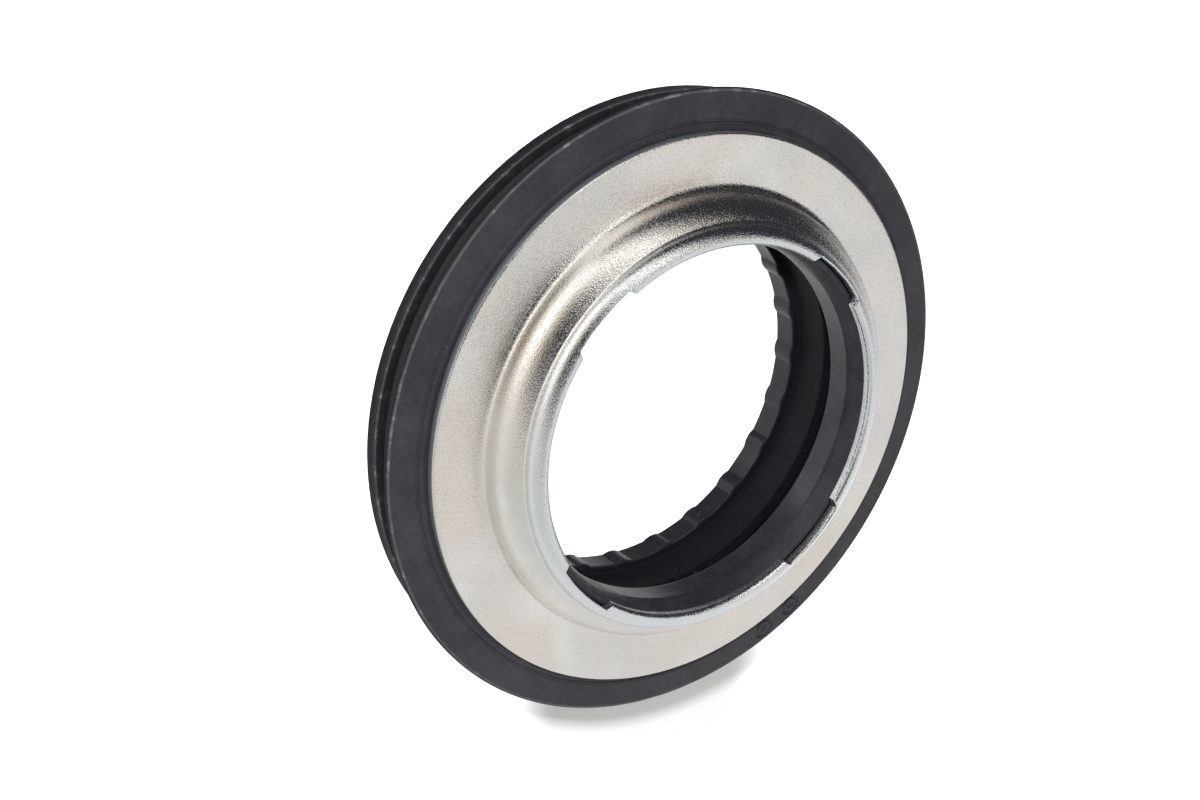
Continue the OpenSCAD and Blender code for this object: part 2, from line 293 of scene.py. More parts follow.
def closed_grid(name, points, material, **attributes):
    """Mesh of a grid of points (outline, turn, xyz) that closes on itself both ways, facing outwards."""
    rows, columns = points.shape[:2]
    index = np.arange(rows * columns).reshape(rows, columns)
    beside = np.roll(index, -1, 1)
    below = np.roll(index, -1, 0)
    quads = np.stack([index, beside, np.roll(below, -1, 1), below], -1).reshape(-1, 4)
    flat = points.reshape(-1, 3)
    a, b, c, d = (flat[quads[:, k]] for k in range(4))
    middle = a + b + c + d
    volume = (np.cross(b - a, d - a) * middle).sum() + (np.cross(d - c, b - c) * middle).sum()
    if volume < 0:
        quads = quads[:, ::-1]
    mesh = bpy.data.meshes.new(name)
    mesh.vertices.add(len(flat))
    mesh.vertices.foreach_set("co", flat.astype(np.float32).ravel())
    mesh.loops.add(quads.size)
    mesh.loops.foreach_set("vertex_index", quads.astype(np.int32).ravel())
    mesh.polygons.add(len(quads))
    mesh.polygons.foreach_set("loop_start", np.arange(0, quads.size, 4, dtype=np.int32))
    mesh.polygons.foreach_set("use_smooth", np.ones(len(quads), bool))
    mesh.update(calc_edges=True)
    for label, values in attributes.items():
        layer = mesh.attributes.new(label, "FLOAT", "POINT")
        layer.data.foreach_set("value", np.broadcast_to(values, (rows, columns)).astype(np.float32).ravel())
    mesh.materials.append(material)
    piece = bpy.data.objects.new(name, mesh)
    bpy.context.scene.collection.objects.link(piece)
    return piece


def all_round(rows, turn):
    """Rows of a grid: a row's value stands at every turn, unless it has one for each already."""
    rows = np.asarray(rows)
    if rows.ndim == 1:
        rows = rows[:, None]
    return np.broadcast_to(rows, (len(rows), len(turn)))


def carried(radius, height, turn):
    """Grid of points: each (radius, height) of an outline stands at each turn about the axis."""
    radius, height, turn = np.broadcast_arrays(radius, height, turn)
    return np.stack([radius * np.cos(turn), radius * np.sin(turn), height], -1)


def turns_with(extra, count=360):
    """Angles once round the ring, evenly spread, with extra ones where the form is fine."""
    even = np.linspace(0, 2 * np.pi, count, endpoint=False)
    both = np.sort(np.mod(np.r_[even, np.ravel(extra)], 2 * np.pi))
    return both[np.r_[True, np.diff(both) > 1e-4]]


def smooth_step(value, low, high):
    """0 below low, 1 above high, and a smooth rise between them."""
    share = np.clip((value - low) / (high - low), 0, 1)
    return share * share * (3 - 2 * share)


def wavering(turn, waves, size):
    """A slow random wave round the ring: a sum of sines with random phases."""
    order = np.arange(3, 3 + waves)
    phase = RNG.uniform(0, 2 * np.pi, waves)
    weight = RNG.normal(0, 1, waves) / np.sqrt(waves)
    return size * (weight[:, None] * np.sin(order[:, None] * turn + phase[:, None])).sum(0)


# Nodes for the materials and the room

RANGE_SOCKETS = ("From Min", "From Max", "To Min", "To Max")


def math_node(tree, operation, first, second):
    """Sum, product, larger one or angle of two values, each a number or another node's output."""
    node = tree.nodes.new("ShaderNodeMath")
    node.operation = operation
    for socket, value in zip(node.inputs, (first, second)):
        if isinstance(value, (int, float)):
            socket.default_value = value
        else:
            tree.links.new(value, socket)
    return node.outputs["Value"]


def vector_node(tree, operation, vector, fixed):
    """Dot product or distance of a vector and a fixed one."""
    node = tree.nodes.new("ShaderNodeVectorMath")
    node.operation = operation
    node.inputs[1].default_value = fixed
    tree.links.new(vector, node.inputs[0])
    return node.outputs["Value"]


def range_node(tree, source, low, high, to_low=0.0, to_high=1.0):
    """Smooth change from one value, where the source is at low, to another, where it is at high."""
    node = tree.nodes.new("ShaderNodeMapRange")
    node.interpolation_type = "SMOOTHSTEP"
    for socket, value in zip(RANGE_SOCKETS, (low, high, to_low, to_high)):
        node.inputs[socket].default_value = value
    tree.links.new(source, node.inputs["Value"])
    return node.outputs["Result"]


def mix_node(tree, factor, first, second):
    """Colour between two, each a colour or another node's output."""
    node = tree.nodes.new("ShaderNodeMix")
    node.data_type = "RGBA"
    sockets = [s for s in node.inputs if s.type == "RGBA"]
    for socket, value in zip(sockets, (first, second)):
        if isinstance(value, tuple):
            socket.default_value = (*value, 1.0)
        else:
            tree.links.new(value, socket)
    tree.links.new(factor, node.inputs["Factor"])
    return next(s for s in node.outputs if s.type == "RGBA")


class Finish:
    """A node material that is built up one node at a time."""

    def __init__(self, name):
        """An empty node tree with a shader, its output and the piece's Object coordinates."""
        self.material = bpy.data.materials.new(name)
        self.material.use_nodes = True
        self.tree = self.material.node_tree
        self.tree.nodes.clear()
        self.out = self.tree.nodes.new("ShaderNodeOutputMaterial")
        self.shader = self.tree.nodes.new("ShaderNodeBsdfPrincipled")
        self.link(self.shader.outputs[0], self.out.inputs["Surface"])
        self.place = self.tree.nodes.new("ShaderNodeTexCoord").outputs["Object"]

    def link(self, source, target):
        """Joins one node's output to another's input."""
        self.tree.links.new(source, target)

    def set(self, **values):
        """Sets constants on the shader's own sockets; an underscore stands for a space in a name."""
        for label, value in values.items():
            self.shader.inputs[label.replace("_", " ")].default_value = value
        return self

    def noise(self, scale, detail=2.0, rough=0.5, stretch=None):
        """Noise on the Object coordinates, which a stretch scales along each axis."""
        node = self.tree.nodes.new("ShaderNodeTexNoise")
        node.inputs["Scale"].default_value = scale
        node.inputs["Detail"].default_value = detail
        node.inputs["Roughness"].default_value = rough
        source = self.place
        if stretch is not None:
            mapping = self.tree.nodes.new("ShaderNodeMapping")
            mapping.inputs["Scale"].default_value = stretch
            self.link(self.place, mapping.inputs["Vector"])
            source = mapping.outputs["Vector"]
        self.link(source, node.inputs["Vector"])
        return node.outputs["Fac"]

    def attribute(self, label):
        """A value that the mesh carries at each point."""
        node = self.tree.nodes.new("ShaderNodeAttribute")
        node.attribute_name = label
        return node.outputs["Fac"]

    def ramp(self, source, *settings):
        """Smooth change of a value, as range_node makes it."""
        return range_node(self.tree, source, *settings)

    def math(self, operation, first, second):
        """Two values joined, as math_node makes it."""
        return math_node(self.tree, operation, first, second)

    def mix(self, factor, first, second):
        """Colour between two, as mix_node makes it."""
        return mix_node(self.tree, factor, first, second)

    def bump(self, height, strength, distance, below=None):
        """Normal that a height map tilts, over another bump where one is given."""
        node = self.tree.nodes.new("ShaderNodeBump")
        node.inputs["Strength"].default_value = strength
        node.inputs["Distance"].default_value = distance
        self.link(height, node.inputs["Height"])
        if below is not None:
            self.link(below, node.inputs["Normal"])
        return node.outputs["Normal"]

    def wear(self, colour=None, roughness=None, normal=None):
        """Links colour, roughness and normal to the shader and gives the finished material."""
        for label, source in (("Base Color", colour), ("Roughness", roughness), ("Normal", normal)):
            if source is not None:
                self.link(source, self.shader.inputs[label])
        return self.material


def zinc_finish():
    """Satin zinc plate: cloudy warm and cool tints over a speckled grain, rougher at the cut edge."""
    finish = Finish("zinc_plate")
    cut = finish.attribute("cut")
    neck = finish.attribute("neck")
    clouds = finish.ramp(finish.noise(38, 3.0, 0.6), 0.40, 0.66)
    warm = finish.ramp(finish.noise(34, 2.0, 0.6), 0.45, 0.66)
    grain = finish.noise(4600, 1.0, 0.5)
    fleck = finish.noise(3600, 2.0, 0.7)
    tint = finish.mix(clouds, (0.83, 0.815, 0.795), (0.95, 0.945, 0.93))
    tint = finish.mix(finish.math("MULTIPLY", warm, 0.8), tint, (0.87, 0.80, 0.745))
    tint = finish.mix(finish.math("MULTIPLY", finish.attribute("crest"), 0.6), tint, (0.83, 0.89, 0.94))
    tint = finish.mix(cut, tint, (0.26, 0.28, 0.31))
    speck = finish.math("MULTIPLY", finish.ramp(fleck, 0.55, 0.68), finish.ramp(neck, 0.0, 1.0, 0.18, 0.34))
    satin = finish.math("ADD", finish.ramp(neck, 0.0, 1.0, 0.20, 0.10), speck)
    rough = finish.math("ADD", satin, finish.math("MULTIPLY", cut, 0.30))
    strokes = finish.noise(900, 2.0, 0.6, (1.0, 1.0, 0.15))
    finish.link(finish.ramp(cut, 0.0, 1.0, 1.0, 0.8), finish.shader.inputs["Metallic"])
    normal = finish.bump(grain, 1.0, 0.065 * MM)
    normal = finish.bump(finish.math("MULTIPLY", strokes, cut), 0.5, 0.2 * MM, normal)
    return finish.wear(tint, rough, normal)


def plastic_finish():
    """Black moulded plastic: a fine matte grain, faint clouds, paler edge lines that are a painted
    highlight, and a deeper black painted as shade on the smooth, less shiny faces.
    """
    finish = Finish("black_moulding")
    edge = finish.attribute("edge")
    smooth = finish.attribute("smooth")
    finish.link(finish.ramp(smooth, 0.0, 1.0, 0.45, 0.10), finish.shader.inputs["Specular IOR Level"])
    clouds = finish.ramp(finish.noise(60, 9.0, 0.8), 0.35, 0.7)
    grain = finish.noise(2600, 2.0, 0.6)
    scuff = finish.ramp(finish.noise(420, 4.0, 0.7, (1.0, 1.0, 0.4)), 0.50, 0.70)
    dust = finish.ramp(finish.noise(1500, 1.0, 0.4), 0.74, 0.80)
    tint = finish.mix(clouds, (0.019, 0.018, 0.0235), (0.039, 0.0365, 0.047))
    # Painted shade: the smooth sides, undersides and hollows of the caps get a deeper black
    tint = finish.mix(finish.math("MULTIPLY", smooth, 0.85), tint, (0.008, 0.0078, 0.010))
    # Painted highlight: the caps' edge lines are tinted paler, broken up by the scuff noise
    edge_highlight = finish.math("MULTIPLY", edge, finish.ramp(scuff, 0.0, 1.0, 0.3, 1.0))
    tint = finish.mix(edge_highlight, tint, (0.17, 0.17, 0.175))
    tint = finish.mix(finish.math("MULTIPLY", dust, 0.35), tint, (0.12, 0.12, 0.12))
    matte = finish.ramp(grain, 0.3, 0.7, 0.46, 0.58)
    matte = finish.math("ADD", matte, finish.math("MULTIPLY", scuff, -0.05))
    gloss = finish.attribute("gloss")
    rough = finish.math("SUBTRACT", matte, finish.math("MULTIPLY", gloss, 0.26))
    deep = finish.math("MULTIPLY", grain, finish.ramp(gloss, 0.0, 1.0, 1.0, 0.25))
    normal = finish.bump(deep, 0.5, 0.06 * MM)
    return finish.wear(tint, rough, normal)


def seal_finish():
    """Soft black seal: dull, with a very fine grain."""
    finish = Finish("seal_lip").set(Specular_IOR_Level=0.3)
    grain = finish.noise(2200, 3.0)
    tint = finish.mix(finish.ramp(grain, 0.3, 0.7), (0.012, 0.012, 0.013), (0.02, 0.02, 0.021))
    return finish.wear(tint, finish.ramp(grain, 0.3, 0.7, 0.62, 0.75), finish.bump(grain, 0.2, 0.05 * MM))


def race_finish():
    """Stamped and hardened steel: grey, with fine lines and faint heat tints."""
    finish = Finish("hard_steel").set(Metallic=1.0)
    lines = finish.noise(700, 3.0, 0.6, (1.0, 1.0, 6.0))
    heat = finish.ramp(finish.noise(45, 3.0), 0.35, 0.65)
    tint = finish.mix(heat, (0.50, 0.50, 0.52), (0.58, 0.56, 0.54))
    return finish.wear(tint, finish.ramp(lines, 0.3, 0.7, 0.2, 0.34), finish.bump(lines, 0.15, 0.05 * MM))


def ball_finish():
    """Polished bearing steel with a thin film of grease."""
    finish = Finish("polished_steel").set(Metallic=1.0)
    film = finish.noise(320, 2.0)
    tint = finish.mix(finish.ramp(film, 0.4, 0.7), (0.66, 0.67, 0.69), (0.70, 0.68, 0.62))
    return finish.wear(tint, finish.ramp(film, 0.3, 0.7, 0.05, 0.14))


def cage_finish():
    """Natural nylon: ivory and slightly waxy."""
    finish = Finish("ivory_nylon").set(Subsurface_Weight=0.1, Subsurface_Scale=0.6 * MM)
    cloud = finish.noise(180, 3.0)
    tint = finish.mix(finish.ramp(cloud, 0.3, 0.7), (0.66, 0.63, 0.52), (0.74, 0.71, 0.61))
    return finish.wear(tint, finish.ramp(cloud, 0.3, 0.7, 0.38, 0.5), finish.bump(cloud, 0.1, 0.05 * MM))


ZINC = zinc_finish()
PLASTIC = plastic_finish()
SEAL = seal_finish()


# Spring seat

SHOULDER_CENTRE = np.array([SHOULDER_AXIS_R, SEAT_Z + SHOULDER_RISE])
CREST_CENTRE = np.array([CREST_R, CREST_Z - CREST_BEND_R])
FOOT_REACH = (SHOULDER_R + FOOT_R - (FOOT_R - SHOULDER_RISE) * np.cos(WALL_TILT)) / np.sin(WALL_TILT)
FOOT_CENTRE = np.array([SHOULDER_AXIS_R + FOOT_REACH, SEAT_Z + FOOT_R])


def resting_point(first, first_reach, second, second_reach):
    """Centre of a ball that rests on two rolls: the outer point at a set distance from each centre."""
    gap = np.linalg.norm(second - first)
    ahead = (second - first) / gap
    along = (first_reach ** 2 - second_reach ** 2 + gap ** 2) / (2 * gap)
    aside = np.sqrt(first_reach ** 2 - along ** 2)
    return first + along * ahead + aside * np.array([ahead[1], -ahead[0]])


VALLEY_CENTRE = resting_point(SHOULDER_CENTRE, SHOULDER_R + VALLEY_R, CREST_CENTRE, CREST_BEND_R + VALLEY_R)
VALLEY_TILTS = [np.arctan2(*(VALLEY_CENTRE - centre)) for centre in (SHOULDER_CENTRE, CREST_CENTRE)]
LIP_ZONE_R = LIP_R + NOTCH_DEPTH + 0.55 * MM
UNDER_ZONE_R = CREST_R + 0.93 * (CREST_BEND_R - SHEET_T)


def bend(centre, radius, start, stop, count):
    """Points of a bend where the sheet's slope goes from one tilt to another.

    A point is the centre plus the radius times (sin tilt, cos tilt); a hollow has a negative radius.
    """
    tilt = np.linspace(start, stop, count)
    return centre + radius * np.stack([np.sin(tilt), np.cos(tilt)], 1)


def neck_face(depth, first_tilt, last_tilt, counts):
    """The stepped neck, so far under its outer side: foot, steep wall, shoulder, valley and crest."""
    foot = bend(FOOT_CENTRE, -(FOOT_R + depth), first_tilt, WALL_TILT, counts[0])
    shoulder = bend(SHOULDER_CENTRE, SHOULDER_R - depth, WALL_TILT, VALLEY_TILTS[0], counts[2])
    wall = foot[-1] + (shoulder[0] - foot[-1]) * np.linspace(0, 1, counts[1])[1:-1, None]
    valley = bend(VALLEY_CENTRE, -(VALLEY_R + depth), *VALLEY_TILTS, counts[3])
    crest = bend(CREST_CENTRE, CREST_BEND_R - depth, VALLEY_TILTS[1], last_tilt, counts[4])
    return np.concatenate([foot, wall, shoulder, valley[1:-1], crest])


def sheet_face(depth, zone_r, flange_points, counts):
    """One side of the pressing, so far under its outer side: the flange and the stepped neck.

    It runs from the flange's edge inwards and stops where the notches of the lip begin.
    """
    flat = np.stack([np.linspace(FLANGE_R - EDGE_ROUND, FOOT_CENTRE[0], flange_points),
                     np.full(flange_points, SEAT_Z - depth)], 1)
    lip_tilt = np.arcsin((zone_r - CREST_R) / (CREST_BEND_R - depth))
    return np.concatenate([flat[:-1], neck_face(depth, 0, lip_tilt, counts)])


def crest_height(radius, depth):
    """Height of the crest's roll at a radius: a circle outside its top, flat inside it."""
    reach = np.maximum(radius - CREST_R, 0)
    return CREST_CENTRE[1] + np.sqrt(np.maximum((CREST_BEND_R - depth) ** 2 - reach ** 2, 0))


def seat_pressing():
    """The pressing: two parallel sides, joined by the cut edges of the flange and of the notched lip.

    The lip ends at LIP_R and steps back smoothly by NOTCH_DEPTH at each notch. From the top side it
    rolls over, goes down the cut face and comes back along the underside.
    """
    pitch = 2 * np.pi / NOTCHES
    edges = np.arange(NOTCHES)[:, None] * pitch + np.array([-0.5, 0.5]) * NOTCH_ANGLE
    near = np.radians(np.linspace(-2.2, 2.2, 29))
    turn = turns_with(edges[..., None] + near)
    local = np.abs(np.mod(turn + pitch / 2, pitch) - pitch / 2)
    flared = NOTCH_ANGLE / 2 + NOTCH_FLARE / LIP_R
    notch = 1 - smooth_step(local, NOTCH_ANGLE / 2 - NOTCH_CORNER, flared + NOTCH_CORNER)
    end_r = LIP_R + NOTCH_DEPTH * notch + np.abs(wavering(turn, 40, LIP_WAVER))
    rollover = LIP_ROLLOVER + (NOTCH_ROLLOVER - LIP_ROLLOVER) * notch

    top = sheet_face(0, LIP_ZONE_R, 12, NECK_TOP_POINTS)
    share = np.linspace(0, 1, 10)[1:, None]
    lip_r = LIP_ZONE_R + (end_r + rollover - LIP_ZONE_R) * share
    lip_z = crest_height(lip_r, 0)
    roll = np.radians(np.linspace(15, 90, 6))[:, None]
    roll_r = end_r + rollover * (1 - np.sin(roll))
    roll_z = lip_z[-1] - rollover * (1 - np.cos(roll))
    foot_z = crest_height(end_r + BURR_ROUND, SHEET_T) + BURR_ROUND
    face_share = np.linspace(0, 1, 6)[1:, None]
    face_z = roll_z[-1] + (foot_z - roll_z[-1]) * face_share
    face_r = end_r + LIP_HOLLOW * np.sin(np.pi * face_share)
    under_share = np.linspace(0, 1, 5)[:-1, None]
    under_r = end_r + BURR_ROUND + (UNDER_ZONE_R - end_r - BURR_ROUND) * under_share
    under_z = crest_height(under_r, SHEET_T)
    bottom = sheet_face(SHEET_T, UNDER_ZONE_R, 5, NECK_UNDER_POINTS)[::-1]
    brim_angle = np.radians(np.linspace(-75, 75, 9))
    brim_side = (SHEET_T / 2 - EDGE_ROUND) * np.sign(brim_angle)
    brim_z = (DECK_Z + SEAT_Z) / 2 + brim_side + EDGE_ROUND * np.sin(brim_angle)
    brim_r = FLANGE_R - EDGE_ROUND + EDGE_ROUND * np.cos(brim_angle)

    # Bands of rows from the flange's top over the lip and back to its edge, with how far each is cut metal
    bands = [(*top.T, 0), (lip_r, lip_z, 0), (roll_r, roll_z, 0.1), (face_r, face_z, 0.25),
             (under_r, under_z, 0), (*bottom.T, 0), (brim_r, brim_z, 1)]
    radius, height = (np.concatenate([all_round(band[k], turn) for band in bands]) for k in range(2))
    cut = np.repeat([band[2] for band in bands], [len(band[0]) for band in bands])[:, None]
    cut[-EDGE_CORNER_ROWS:] = 0
    neck = smooth_step(FOOT_CENTRE[0] + NECK_BLEND / 2 - radius, 0, NECK_BLEND)
    crest = smooth_step(VALLEY_CENTRE[0] - radius, 0, CREST_BLEND)
    piece = closed_grid("seat_pressing", carried(radius, height, turn), ZINC,
                        cut=cut, neck=neck, crest=crest)
    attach(piece, "lower")
    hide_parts("spring_seat")


# Lower cap

def face_height(radius):
    """Height of the lower cap's sloping face: a straight line from its inner step to the rim."""
    slope = (DECK_Z - FACE_STEP - RIM_Z) / (CAP_R - RIM_CHAMFER - FACE_R)
    return DECK_Z - FACE_STEP - slope * (radius - FACE_R)


def face_grooves():
    """Fine turned lines on the sloping face beside the pressing: two notches, the outer one first."""
    radius = (FACE_GROOVES[:, None] + np.array([0.5, 0, -0.5]) * FACE_GROOVE_W).ravel()
    depth = np.tile([0, FACE_GROOVE_DEPTH, 0], len(FACE_GROOVES))
    return np.stack([radius, face_height(radius) - depth], 1)


def lower_cap_outline():
    """Section of the lower cap, from the bore's lower edge round its underside and back over the face."""
    half_land = np.arcsin(LAND_OFFSET / RACE_BACK_R)
    groove = arc((PITCH_R, BALL_Z), RACE_BACK_R, np.pi - half_land, half_land, 14)
    under = SHEET_T + NEST_GAP
    deck_tilt = np.arccos((FOOT_R + SHEET_T) / (FOOT_R + under))
    nest = neck_face(under, deck_tilt, 0, NEST_POINTS)
    core_r = BORE_R + BORE_WALL
    core_z = BORE_Z + BORE_H - CORE_STOP
    core_corner = np.array([core_r + CORE_W, core_z])
    core_foot = (INNER_WALL_R, core_z - (INNER_WALL_R - core_corner[0]) * np.tan(CORE_SLOPE))
    bead_z = INNER_WALL_Z + BEAD_FOOT
    return np.concatenate([
        [(BORE_R, BORE_Z), (core_r, BORE_Z), (core_r, core_z), core_corner, core_foot,
         (INNER_WALL_R, bead_z + BEAD_W), (INNER_WALL_R - BEAD_H, bead_z + BEAD_W),
         (INNER_WALL_R - BEAD_H, bead_z + BEAD_W / 2), (INNER_WALL_R, bead_z), (INNER_WALL_R, INNER_WALL_Z),
         (INNER_WALL_R + INNER_WALL_T, INNER_WALL_Z), (INNER_WALL_R + INNER_WALL_T, BALL_Z + LAND_OFFSET)],
        groove,
        [(SKIRT_R, BALL_Z + LAND_OFFSET), (SKIRT_R, SKIRT_Z), (SKIRT_R + SKIRT_T, SKIRT_Z),
         (SKIRT_R + SKIRT_T, RIM_Z - RIM_ROOT), (CAP_R, RIM_Z - RIM_SIDE), (CAP_R, RIM_Z - RIM_CHAMFER),
         (CAP_R - RIM_CHAMFER, RIM_Z)],
        face_grooves(), [(FACE_R, DECK_Z - FACE_STEP), (FACE_R, DECK_Z)],
        nest, [(BORE_R + BORE_LEAD, CREST_Z - under), (BORE_R, BORE_Z + BORE_H)]])


def on_sloping_face(outline):
    """Which points of the lower cap's outline lie on its sloping face, outside the turned lines."""
    radius, height = outline.T
    outside_lines = radius > FACE_GROOVES[0] - FACE_GROOVE_W
    return outside_lines & (radius < CAP_R - RIM_CHAMFER) & (height > RIM_Z - FACE_SLACK)


def lower_cap_shell():
    """Lower cap: its section turned about the axis, with two mould marks sunk into the sloping face.

    A mark is a round groove with a dimple in its middle, by the distance from its centre. The rim's
    upper corner carries a thin flash line that wavers, tinted paler as a painted highlight. Below the
    rim, the sides, underside and bore are painted a deeper black as shade.
    """
    outline = spaced(rounded(lower_cap_outline(), LOWER_EDGE_R, 3), LOWER_SPACING)
    span = np.linspace(*(MARK_PITCH_R + MARK_ZONE), 33)
    face_rows = np.stack([span, face_height(span)], 1)[::-1]
    inside = on_sloping_face(outline)
    inside &= (outline[:, 0] > span[0] - FACE_SLACK) & (outline[:, 0] < span[-1] + 2 * FACE_SLACK)
    first = np.flatnonzero(inside)[0]
    outline = np.concatenate([outline[:first], face_rows, outline[first:][~inside[first:]]])

    fine = np.radians(np.linspace(-3.0, 3.0, 41))
    turn = turns_with(MARK_ANGLES[:, None] + fine, 288)
    radius = all_round(outline[:, 0], turn).copy()
    height = all_round(outline[:, 1], turn).copy()
    face = on_sloping_face(outline)[:, None]
    groove_r = MARK_R - MARK_GROOVE_W
    for angle in MARK_ANGLES:
        away = np.hypot(radius - MARK_PITCH_R, MARK_PITCH_R * (turn - angle))
        ring = smooth_step(away, groove_r - MARK_SOFT, groove_r + MARK_SOFT)
        ring *= 1 - smooth_step(away, MARK_R - MARK_SOFT, MARK_R + MARK_SOFT)
        dimple = 1 - smooth_step(away, MARK_R / 3 - MARK_SOFT, MARK_R / 3 + MARK_SOFT)
        height -= face * MARK_DEPTH * np.maximum(ring, dimple)
    corner = np.hypot(outline[:, 0] - CAP_R + RIM_CHAMFER, outline[:, 1] - RIM_Z)
    # The flash line wavers out of the rim's corner; its mask also paints a paler highlight on it
    flash_and_highlight = np.exp(-(corner / FLASH_W) ** 2)[:, None]
    radius -= flash_and_highlight * np.abs(wavering(turn, 90, FLASH_WAVER))
    # Painted shade: everything below the rim's corner gets a deeper black
    smooth = np.where(outline[:, 1] < RIM_Z - RIM_CHAMFER + SIDE_SLACK, 1.0, 0.0)
    gloss = np.where(outline[:, 0] < BORE_R + BORE_GLOSS_W, 1.0, 0.0)
    piece = closed_grid("lower_cap_shell", carried(radius, height, turn), PLASTIC,
                        edge=flash_and_highlight, smooth=smooth[:, None], gloss=gloss[:, None])
    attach(piece, "lower")
    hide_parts("lower_cap")


# Upper cap

def upper_cap_outline():
    """Section of the upper cap between ribs and pockets, from the rim's lower edge round the outside."""
    half_land = np.arcsin(LAND_OFFSET / RACE_BACK_R)
    groove = arc((PITCH_R, BALL_Z), RACE_BACK_R, -half_land, half_land - np.pi, 14)
    bead_z = SLEEVE_Z - BEAD_H - BEAD_W
    pocket_in, pocket_out = RIM_R + POCKET_WALL, END_FACE_R - POCKET_WALL
    land_z = BALL_Z - LAND_OFFSET
    under_z = OUTER_FLANGE_Z - OUTER_FLANGE_T
    upstand_out = UPSTAND_R + UPSTAND_T
    upstand_z = BALL_Z + UPSTAND_RISE
    return np.concatenate([
        [(RIM_R, 0), (pocket_in, 0), (pocket_in, POCKET_DEPTH), (pocket_out, POCKET_DEPTH), (pocket_out, 0),
         (END_FACE_R, 0), (SKIRT_R, under_z), (OUTER_FLANGE_R, under_z), (OUTER_FLANGE_R, OUTER_FLANGE_Z),
         (upstand_out, OUTER_FLANGE_Z), (upstand_out, upstand_z), (UPSTAND_R, upstand_z),
         (UPSTAND_R, land_z)],
        groove,
        [(SLEEVE_OUTER_R, land_z), (SLEEVE_OUTER_R, bead_z), (SLEEVE_OUTER_R + BEAD_H, bead_z),
         (SLEEVE_OUTER_R + BEAD_H, bead_z + BEAD_W), (SLEEVE_OUTER_R, SLEEVE_Z), (SLEEVE_R, SLEEVE_Z),
         (SLEEVE_R, RIM_H), (RIM_R, RIM_H)]])


def upper_cap_shell():
    """Upper cap: its section turned about the axis, with ribs on the rim and webs across the pockets.
    All but its end face is painted a deeper black as shade, less so on the ribbed rim, and the outer
    flange's top edge carries a pale painted highlight.
    """
    outline = spaced(rounded(upper_cap_outline(), UPPER_EDGE_R), UPPER_SPACING)
    pitch = 2 * np.pi / RIBS
    web = POCKET_WEB_T / 2 / (RIM_R + POCKET_WALL + POCKET_WEB_AT)
    edge = np.array([-1.03, -0.97, 0.97, 1.03]) * web
    rib_half = np.arcsin(RIB_W / 2 / RIM_R)
    offsets = np.r_[np.linspace(-1.15, 1.15, 11) * rib_half, edge]
    turn = turns_with(np.arange(RIBS)[:, None] * pitch + offsets, RIBS * 5)
    local = np.mod(turn + pitch / 2, pitch) - pitch / 2
    rib_r = ((RIB_W / 2) ** 2 + RIB_H ** 2) / (2 * RIB_H)
    sideways = RIM_R * np.sin(local)
    bar = np.sqrt(np.maximum(rib_r ** 2 - sideways ** 2, 0))
    rise = np.maximum(bar - (rib_r - RIB_H), 0)
    radius = all_round(outline[:, 0], turn).copy()
    height = all_round(outline[:, 1], turn).copy()
    out_r, out_z = outline.T
    rounding = UPPER_EDGE_R + UPPER_SLACK
    on_rim = (out_r < RIM_R + rounding) & (out_z < RIM_H + UPPER_SLACK)
    fade = 1 - smooth_step(outline[:, :1] - RIM_R, 0, RIB_FADE)
    radius -= np.where(on_rim[:, None], rise * fade, 0)
    in_pocket = (out_r > RIM_R + POCKET_WALL - rounding) & (out_r < END_FACE_R - POCKET_WALL + rounding)
    in_pocket &= out_z < POCKET_DEPTH + UPPER_SLACK
    height *= np.where(in_pocket[:, None] & (np.abs(local) < web), 0, 1)
    # Painted highlight: a pale line along the outer flange's top edge
    from_brim = np.abs(out_r - OUTER_FLANGE_R) + np.abs(out_z - OUTER_FLANGE_Z)
    brim_highlight = np.exp(-(from_brim / BRIM_HIGHLIGHT_W) ** 2)
    # Painted shade: all faces but the end face get a deeper black, less on the ribbed rim
    smooth = np.where(on_rim, 0.3, 1.0) * (out_z > 0)
    gloss = np.where(on_rim, 1.0, 0.0)
    piece = closed_grid("upper_cap_shell", carried(radius, height, turn), PLASTIC,
                        edge=brim_highlight[:, None], smooth=smooth[:, None], gloss=gloss[:, None])
    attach(piece, "upper")
    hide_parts("upper_cap")


# Seals

def seal_ring(name, corners, node):
    """A lip seal: its section, with rounded corners, turned about the axis."""
    outline = spaced(rounded(corners, SEAL_EDGE_R), SEAL_T, SEAL_EDGE_R)
    turn = turns_with([])
    piece = closed_grid(name, carried(outline[:, :1], outline[:, 1:], turn), SEAL)
    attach(piece, "lower")
    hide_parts(node)


def outer_seal_ring():
    """Outer seal: a ring under the skirt whose lip reaches out and down to the upper cap's flange."""
    skirt_out = SKIRT_R + SKIRT_T
    tip_r = skirt_out + SEAL_FLARE
    tip_z = OUTER_FLANGE_Z + SEAL_GAP
    seal_ring("outer_seal_lip", [
        (SKIRT_R, SKIRT_Z), (SKIRT_R, SKIRT_Z - SEAL_T), (skirt_out, SKIRT_Z - SEAL_T),
        (tip_r, tip_z), (tip_r, tip_z + SEAL_TIP_T), (skirt_out, SKIRT_Z)], "outer_seal")


def inner_seal_ring():
    """Inner seal: a ring under the inner wall whose lip reaches in and down to the upper cap's sleeve."""
    wall_out = INNER_WALL_R + INNER_WALL_T
    tip_r = SLEEVE_OUTER_R + SEAL_GAP
    tip_z = BALL_Z - LAND_OFFSET + SEAL_GAP
    seal_ring("inner_seal_lip", [
        (wall_out, INNER_WALL_Z), (INNER_WALL_R, INNER_WALL_Z), (tip_r, tip_z + SEAL_TIP_T), (tip_r, tip_z),
        (INNER_WALL_R, INNER_WALL_Z - SEAL_T), (wall_out, INNER_WALL_Z - SEAL_T)], "inner_seal")


